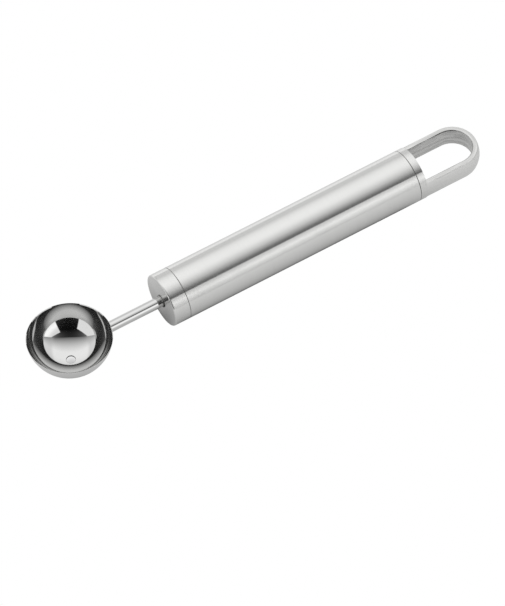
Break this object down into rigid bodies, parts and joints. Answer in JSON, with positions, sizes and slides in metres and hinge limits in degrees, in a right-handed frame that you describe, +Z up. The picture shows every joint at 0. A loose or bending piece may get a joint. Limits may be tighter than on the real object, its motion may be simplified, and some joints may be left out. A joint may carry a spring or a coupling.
{
  "type": "melon baller",
  "caption": "All-steel melon baller: deep round bowl with a drain hole, thin stem, round handle and a flat hanging loop.",
  "frame": {"origin": "under the middle of the tool's length, on the surface that it lies on, below the handle's axis", "axes": "+X along the handle from the bowl to the hanging loop, +Y across the handle, +Z up out of the bowl's mouth"},
  "size_m": [0.1798, 0.03, 0.0194],
  "materials": {
    "mirror_steel": "mirror-polished stainless steel",
    "satin_steel": "satin stainless steel with a fine grain round the handle"
  },
  "bodies": {
    "root": {"bowl": "mirror_steel", "bowl_weld": "mirror_steel", "stem": "mirror_steel", "face_weld": "satin_steel", "front_cap": "satin_steel", "handle_tube": "satin_steel", "rear_cap": "satin_steel"}
  },
  "joints": []
}
